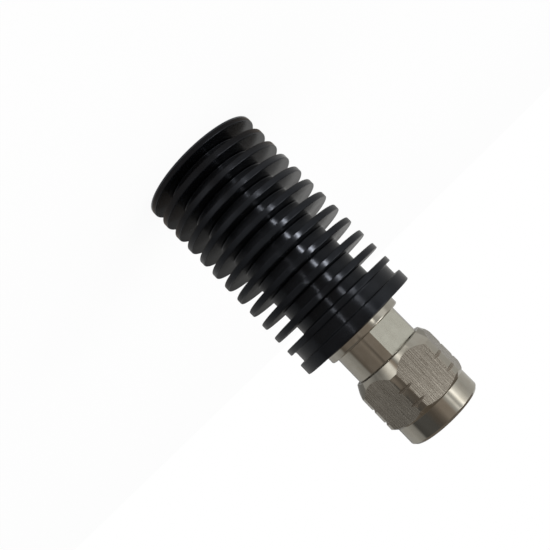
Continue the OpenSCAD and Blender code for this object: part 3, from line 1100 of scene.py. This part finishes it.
@dataclass(frozen=True)
class Viewpoint:
    """The camera of the photograph, about the object's axis."""

    azimuth_deg: float = 38.7
    distance_mm: float = 155.66
    height_mm: float = 45.34
    aim_side_mm: float = 5.3
    aim_height_mm: float = 30.01
    roll_deg: float = 135.72
    lens_mm: float = 45.28
    clip_mm: float = 10.0

    def direction(self, turn_deg: float = 0.0) -> Vector:
        """Gives the level direction to the camera, or one turned from it to the photo's top right."""
        turn = math.radians(self.azimuth_deg - turn_deg)
        return Vector((math.sin(turn), -math.cos(turn), 0.0))

    def build(self) -> None:
        """Makes the camera and hands it to the scene."""
        up = Vector((0.0, 0.0, 1.0))
        out = self.direction()
        eye = (out * self.distance_mm + up * self.height_mm) * MM
        aim = (up.cross(out) * self.aim_side_mm + up * self.aim_height_mm) * MM
        look = (aim - eye).to_track_quat("-Z", "Y").to_matrix().to_4x4()
        data = bpy.data.cameras.new("photo_camera")
        data.lens = self.lens_mm
        data.clip_start = self.clip_mm * MM
        camera = stand("photo_camera", data)
        roll = Matrix.Rotation(math.radians(self.roll_deg), 4, "Z")
        camera.matrix_world = Matrix.Translation(eye) @ look @ roll
        bpy.context.scene.camera = camera


@dataclass(frozen=True)
class Stop:
    """Brightness of a card at one turn from the camera, towards the photo's top right."""

    turn_deg: float
    level: float
    tint: str


# Warm light of the room behind the camera, and light from white paper
ROOM = "#fff0e2"
PAPER = "#fdfcf9"


@dataclass(frozen=True)
class CardRing:
    """A ring of glowing cards round the object, between two circles, which only reflections show."""

    name: str
    low: tuple[float, float]
    high: tuple[float, float]
    stops: tuple[Stop, ...]
    peak: float = 1.5
    steps: int = 120

    def build(self, view: Viewpoint) -> None:
        """Makes the ring between two circles, given by radius and height in metres.

        Args:
            view: the viewpoint from which turns are counted.
        """
        first, last = self.stops[0].turn_deg, self.stops[-1].turn_deg
        turns = [first + (last - first) * i / self.steps for i in range(self.steps + 1)]
        points = [view.direction(t) * r + Vector((0, 0, z)) for t in turns for r, z in (self.low, self.high)]
        faces = [(2 * i, 2 * i + 1, 2 * i + 3, 2 * i + 2) for i in range(self.steps)]
        mesh = bpy.data.meshes.new(self.name)
        mesh.from_pydata(points, [], faces)
        around = mesh.uv_layers.new(name="UVMap")
        for loop in mesh.loops:
            around.data[loop.index].uv = (loop.vertex_index // 2 / self.steps, loop.vertex_index % 2)
        mesh.materials.append(self._glow(first, last))
        ring = stand(self.name, mesh)
        ring.visible_camera = False
        ring.visible_diffuse = False
        ring.visible_shadow = False

    def _glow(self, first: float, last: float) -> Material:
        """Makes the cards' glow, which changes smoothly from stop to stop.

        Args:
            first: turn of the first stop in degrees.
            last: turn of the last stop in degrees.

        Returns:
            The material.
        """
        material = bpy.data.materials.new(self.name)
        material.use_nodes = True
        tree = material.node_tree
        tree.nodes.clear()
        around = add_node(tree, "ShaderNodeUVMap", uv_map="UVMap").outputs[0]
        share = add_node(tree, "ShaderNodeSeparateXYZ", {0: around}).outputs["X"]
        ramp = add_node(tree, "ShaderNodeValToRGB", {"Fac": share})
        elements = ramp.color_ramp.elements
        while len(elements) < len(self.stops):
            elements.new(1.0)
        for element, stop in zip(elements, self.stops):
            element.position = (stop.turn_deg - first) / (last - first)
            element.color = [c * stop.level / self.peak for c in linear(stop.tint)[:3]] + [1.0]
        glow = add_node(tree, "ShaderNodeEmission", {
            "Color": ramp.outputs[0], "Strength": self.peak}).outputs[0]
        add_node(tree, "ShaderNodeOutputMaterial", {"Surface": glow})
        return material


def stops(*marks: tuple[float, float], tint: str = PAPER) -> tuple[Stop, ...]:
    """Gives stops of one tint from pairs of turn and level."""
    return tuple(Stop(turn, level, tint) for turn, level in marks)


# Radii of the cards' edges on the floor, from the foot out to the walls
FOOT_IN_R = 0.0154
FOOT_OUT_R = 0.046
CONE_OUT_R = 0.07
NEAR_OUT_R = 0.16
WALL_R = 0.6
# Heights of the cards on the floor and of the walls' edges
FLOOR_Z = 0.0004
WALL_Z = 0.001
LOW_TOP_Z = 0.086
MIDDLE_TOP_Z = 0.152
CEILING_Z = 0.5
# Radius of the hole in the middle of the ceiling, too small to show
CEILING_HOLE_R = 0.0001
# Level at which a wall's colour ramp is full, above all of its stops
WALL_PEAK = 2.0

# Cards beside the object at three heights. The collar shows the low ones, the barrel the middle ones, the
# mouth the high ones, and the hexagon some of both. They are a dim warm room behind the camera, white paper
# at both sides and bright strips
WALL_LEFT = stops((-180, 0.2), (-172, 0.08), (-150, 0.36), (-112, 0.4))
WALL_RIGHT = stops((171, 0.5), (180, 0.2))
LOW_WALL = CardRing("low_wall_cards", (WALL_R, WALL_Z), (WALL_R, LOW_TOP_Z), (
    *WALL_LEFT,
    *stops((-82, 0.3)),
    *stops((-74, 0.12), (-60, 0.18), (-36, 0.18), (-20, 0.21), (-6, 0.21), (20, 0.26), tint=ROOM),
    *stops((29, 0.4), (36, 1.8), (42, 0.42), (52, 0.5), (62, 0.64), (77, 0.68), (92, 0.45), (150, 0.45)),
    *WALL_RIGHT), WALL_PEAK)
MIDDLE_WALL = CardRing("middle_wall_cards", (WALL_R, LOW_TOP_Z), (WALL_R, MIDDLE_TOP_Z), (
    *WALL_LEFT,
    *stops((-82, 0.3)),
    *stops((-74, 0.12), (-60, 0.18), (-36, 0.19), (-27, 0.25), (-22, 0.17), (-18, 0.11), (-13, 0.24),
           (-6, 0.23), (20, 0.26), tint=ROOM),
    *stops((42, 0.31), (56, 0.38), (66, 0.7), (77, 0.77), (92, 0.45), (150, 0.45)),
    *WALL_RIGHT), WALL_PEAK)
HIGH_WALL = CardRing("high_wall_cards", (WALL_R, MIDDLE_TOP_Z), (WALL_R, CEILING_Z), (
    *WALL_LEFT,
    *stops((-87, 0.28), (-79, 0.07), (-58, 0.09), (-36, 0.085)),
    *stops((-20, 0.1), (-8, 0.15), (4, 0.27), (22, 0.28), tint=ROOM),
    *stops((31, 0.45), (38, 0.9), (44, 0.45), (49, 0.65), (56, 1.7), (65, 0.95), (80, 0.54), (96, 0.42),
           (150, 0.55)),
    *WALL_RIGHT), WALL_PEAK)
# Cards on the floor: a dark patch round the foot, the patches that the nut's rear cone reflects, pale paper
# that the lower fins' rims reflect, and dim paper beyond
FOOT = CardRing("foot_cards", (FOOT_IN_R, FLOOR_Z), (FOOT_OUT_R, FLOOR_Z), stops(
    (-180, 0.26), (180, 0.26), tint=ROOM))
CONE_PATCHES = CardRing("cone_cards", (FOOT_OUT_R, FLOOR_Z), (CONE_OUT_R, FLOOR_Z), (
    *stops((-180, 0.2), (-92, 0.26), (-66, 0.2), (-54, 0.22), (-45, 0.35), (-37, 0.58), (-28, 0.88),
           (-20, 1.05), (-13, 1.0)),
    *stops((-6, 0.4), (0, 0.28), tint=ROOM),
    *stops((6, 0.3), (15, 0.9), (24, 1.35), (34, 0.78), (43, 0.56), (75, 0.75), (180, 0.75))))
NEAR_PAPER = CardRing("near_cards", (CONE_OUT_R, FLOOR_Z), (NEAR_OUT_R, FLOOR_Z), stops(
    (-180, 0.2), (-150, 0.36), (-100, 0.36), (-70, 0.2), (-40, 0.45), (40, 0.5), (72, 0.45), (90, 0.5),
    (150, 0.5), (180, 0.3)))
FAR_PAPER = CardRing("far_cards", (NEAR_OUT_R, FLOOR_Z), (WALL_R, FLOOR_Z), stops(
    (-180, 0.18), (-60, 0.18), (-30, 0.24), (20, 0.2), (60, 0.38), (180, 0.3)))
# A dim ceiling, which keeps the faces towards the mouth dark
CEILING = CardRing("ceiling_cards", (WALL_R, CEILING_Z), (CEILING_HOLE_R, CEILING_Z), stops(
    (-180, 0.16), (180, 0.16), tint=ROOM))


@dataclass(frozen=True)
class Lamp:
    """An area lamp that faces the axis, placed by its turn from the camera to the photo's top right."""

    name: str
    turn_deg: float
    away: float
    height: float
    aim_height: float
    size: tuple[float, float]
    watts: float
    spread_deg: float = 180.0

    def build(self, view: Viewpoint) -> None:
        """Makes the lamp, with a narrow beam where its spread is small.

        Args:
            view: the viewpoint from which turns are counted.
        """
        data = bpy.data.lights.new(self.name, "AREA")
        data.shape = "RECTANGLE"
        data.size, data.size_y = self.size
        data.energy = self.watts
        data.spread = math.radians(self.spread_deg)
        lamp = stand(self.name, data)
        eye = view.direction(self.turn_deg) * self.away + Vector((0, 0, self.height))
        aim = Vector((0, 0, self.aim_height))
        look = (aim - eye).to_track_quat("-Z", "Y").to_matrix().to_4x4()
        lamp.matrix_world = Matrix.Translation(eye) @ look
        lamp.visible_camera = False


# A large lamp for soft light from above, and two small ones that put the glints on the fins
SOFT_LAMP = Lamp("soft_lamp", turn_deg=58, away=0.55, height=0.45, aim_height=0.045, size=(0.35, 0.35),
                 watts=1.0)
SLIM_LAMP = Lamp("slim_lamp", turn_deg=32, away=0.12, height=0.021, aim_height=0.03, size=(0.009, 0.024),
                 watts=0.00065, spread_deg=27)
THIN_LAMP = Lamp("thin_lamp", turn_deg=-9.5, away=0.14, height=0.04, aim_height=0.043, size=(0.002, 0.014),
                 watts=0.00006, spread_deg=24)


@dataclass
class Studio:
    """Floor, cards, lamps and world, which are no part of the object."""

    view: Viewpoint
    floor_radius: float = 3.0
    floor_segments: int = 64
    floor_colour: str = "#f4f4f4"
    floor_glow: float = 0.92
    world_colour: str = "#ffffff"
    world_fill: float = 0.85
    cards: tuple[CardRing, ...] = (LOW_WALL, MIDDLE_WALL, HIGH_WALL, FOOT, CONE_PATCHES, NEAR_PAPER,
                                   FAR_PAPER, CEILING)
    lamps: tuple[Lamp, ...] = (SOFT_LAMP, SLIM_LAMP, THIN_LAMP)

    def build(self) -> None:
        """Makes the whole studio."""
        self._floor()
        for light in (*self.cards, *self.lamps):
            light.build(self.view)
        self._world()

    def _seen(self, tree: NodeTree) -> NodeSocket:
        """Adds the nodes that tell rays which show the background: camera, glossy and transmission rays.

        Args:
            tree: the tree of the floor's material or of the world.

        Returns:
            One for such a ray and nought for others.
        """
        path = add_node(tree, "ShaderNodeLightPath").outputs
        either = add_node(tree, "ShaderNodeMath", {0: path["Is Camera Ray"], 1: path["Is Glossy Ray"]},
                          operation="MAXIMUM").outputs[0]
        return add_node(tree, "ShaderNodeMath", {0: either, 1: path["Is Transmission Ray"]},
                        operation="MAXIMUM").outputs[0]

    def _floor(self) -> None:
        """Makes the white floor, which glows for the camera but keeps the object's shadow."""
        mesh = bpy.data.meshes.new("floor")
        shell = bmesh.new()
        bmesh.ops.create_circle(shell, cap_ends=True, segments=self.floor_segments, radius=self.floor_radius)
        shell.to_mesh(mesh)
        shell.free()
        material = bpy.data.materials.new("white_paper_floor")
        material.use_nodes = True
        tree = material.node_tree
        tree.nodes.clear()
        paper = add_node(tree, "ShaderNodeBsdfDiffuse", {"Color": linear(self.floor_colour)}).outputs[0]
        white = add_node(tree, "ShaderNodeEmission", {"Strength": 1.0}).outputs[0]
        share = add_node(tree, "ShaderNodeMath", {0: self._seen(tree), 1: self.floor_glow},
                         operation="MULTIPLY").outputs[0]
        mixed = add_node(tree, "ShaderNodeMixShader", {0: share, 1: paper, 2: white}).outputs[0]
        add_node(tree, "ShaderNodeOutputMaterial", {"Surface": mixed})
        mesh.materials.append(material)
        floor = stand("floor", mesh)

    def _world(self) -> None:
        """Makes a white world for rays that show it and a softer fill for diffuse light."""
        world = bpy.data.worlds.new("studio")
        world.use_nodes = True
        tree = world.node_tree
        tree.nodes.clear()
        level = add_node(tree, "ShaderNodeMapRange", {
            "Value": self._seen(tree), 3: self.world_fill, 4: 1.0}).outputs[0]
        glow = add_node(tree, "ShaderNodeBackground", {
            "Color": linear(self.world_colour), "Strength": level}).outputs[0]
        add_node(tree, "ShaderNodeOutputWorld", {"Surface": glow})
        bpy.context.scene.world = world


def main() -> None:
    """Builds the camera, the studio and the object's pieces in order."""
    logging.basicConfig(level=logging.INFO, format="%(message)s")
    bpy.context.scene.view_settings.view_transform = "Standard"
    view = Viewpoint()
    view.build()
    Studio(view).build()
    lathe = TurningTree()
    turned, milled = NICKEL_TURNED.material(), NICKEL_MILLED.material()
    HeatSink().build(lathe)
    ConnectorBody().build(lathe, turned, milled)
    nut = CouplingNut()
    nut.build(lathe, turned, NICKEL_DRAWN_SHADED.material(), NICKEL_GROOVE_SHADED.material())
    nut.thread(turned)
    InnerParts().dress()


if __name__ == "__main__":
    main()
